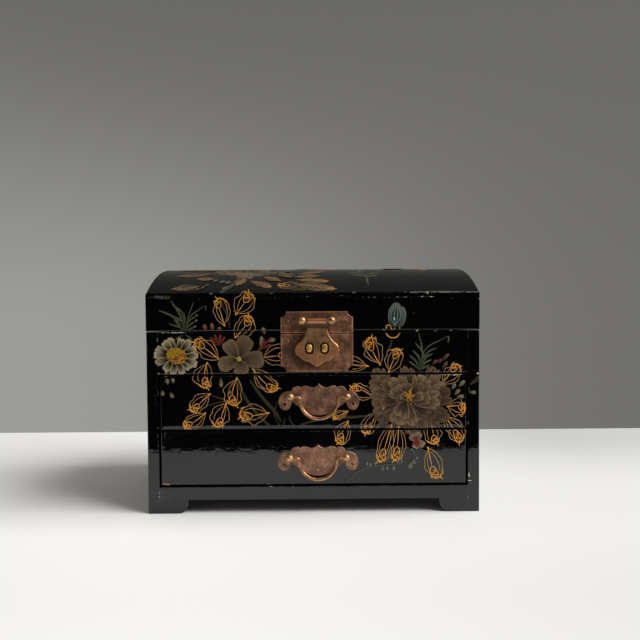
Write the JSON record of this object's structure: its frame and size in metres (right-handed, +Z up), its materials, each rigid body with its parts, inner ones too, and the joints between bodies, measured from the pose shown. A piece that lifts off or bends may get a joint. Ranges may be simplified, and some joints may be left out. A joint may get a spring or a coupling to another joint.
{
  "type": "lacquer box",
  "caption": "Black lacquer table box with a hinged curved lid over a lined compartment, drawers below with swinging bail pulls, a slotted hasp lock plate and low bracket feet.",
  "frame": {"origin": "on the surface the feet stand on, under the middle of the whole part with its fittings at rest", "axes": "+X to the right along the front, -Y out of the front where the drawers pull out, +Y to the hinged back, +Z up"},
  "size_m": [0.305, 0.2142, 0.2319],
  "materials": {
    "black_lacquer": "gloss black lacquer over wood",
    "drawer_lacquer": "satin black lacquer over wood",
    "red_felt": "matte woven pad",
    "copper_plate": "worn copper-brown patina",
    "aged_brass": "satin, rubbed bright",
    "hasp_brass": "aged satin"
  },
  "bodies": {
    "case": {"side_panel_left": "black_lacquer", "side_panel_right": "black_lacquer", "back_panel": "black_lacquer", "frieze_panel": "black_lacquer", "front_apron": "black_lacquer", "rear_apron": "black_lacquer", "bottom_board": "drawer_lacquer", "drawer_divider": "drawer_lacquer", "compartment_floor": "drawer_lacquer", "compartment_pad": "red_felt", "case_lock_plate": "copper_plate", "case_plate_nails": "hasp_brass", "lock_staples": "aged_brass", "case_hinge_leaf_left": "hasp_brass", "case_hinge_leaf_right": "hasp_brass", "hinge_pin_left": "hasp_brass", "hinge_pin_right": "hasp_brass", "case_hinge_screws": "hasp_brass"},
    "lid": {"lid_front_panel": "black_lacquer", "lid_back_panel": "black_lacquer", "lid_end_left": "black_lacquer", "lid_end_right": "black_lacquer", "lid_top_board": "black_lacquer", "lid_lock_plate": "copper_plate", "lid_plate_nails": "hasp_brass", "hasp_bar_posts": "aged_brass", "hasp_bar_pin": "hasp_brass", "lid_hinge_leaf_left": "hasp_brass", "lid_hinge_leaf_right": "hasp_brass", "lid_hinge_screws": "hasp_brass"},
    "hasp": {"hasp": "hasp_brass"},
    "upper_drawer": {"upper_drawer_front": "black_lacquer", "upper_drawer_side_left": "drawer_lacquer", "upper_drawer_side_right": "drawer_lacquer", "upper_drawer_back": "drawer_lacquer", "upper_drawer_bottom": "drawer_lacquer", "upper_drawer_pad": "red_felt", "upper_drawer_pull_plate": "copper_plate", "upper_drawer_pull_nails": "hasp_brass", "upper_drawer_pull_posts": "aged_brass"},
    "upper_drawer_bail": {"upper_drawer_bail": "aged_brass"},
    "lower_drawer": {"lower_drawer_front": "black_lacquer", "lower_drawer_side_left": "drawer_lacquer", "lower_drawer_side_right": "drawer_lacquer", "lower_drawer_back": "drawer_lacquer", "lower_drawer_bottom": "drawer_lacquer", "lower_drawer_pad": "red_felt", "lower_drawer_pull_plate": "copper_plate", "lower_drawer_pull_nails": "hasp_brass", "lower_drawer_pull_posts": "aged_brass"},
    "lower_drawer_bail": {"lower_drawer_bail": "aged_brass"}
  },
  "joints": [
    {"name": "lid_hinge", "type": "hinge", "parent": "case", "child": "lid", "pos_m": [0, 0.10447, 0.1675], "axis": [-1, 0, 0], "range_deg": [0, 100]},
    {"name": "hasp_hinge", "type": "hinge", "parent": "lid", "child": "hasp", "pos_m": [0.0035, -0.10362, 0.1766], "axis": [-1, 0, 0], "range_deg": [0, 170]},
    {"name": "upper_drawer_slide", "type": "slide", "parent": "case", "child": "upper_drawer", "axis": [0, -1, 0], "range_m": [0, 0.15]},
    {"name": "upper_drawer_bail_swing", "type": "hinge", "parent": "upper_drawer", "child": "upper_drawer_bail", "pos_m": [0.005, -0.10312, 0.1073], "axis": [-1, 0, 0], "range_deg": [0, 170]},
    {"name": "lower_drawer_slide", "type": "slide", "parent": "case", "child": "lower_drawer", "axis": [0, -1, 0], "range_m": [0, 0.15]},
    {"name": "lower_drawer_bail_swing", "type": "hinge", "parent": "lower_drawer", "child": "lower_drawer_bail", "pos_m": [0.0038, -0.10312, 0.0516], "axis": [-1, 0, 0], "range_deg": [0, 170]}
  ]
}
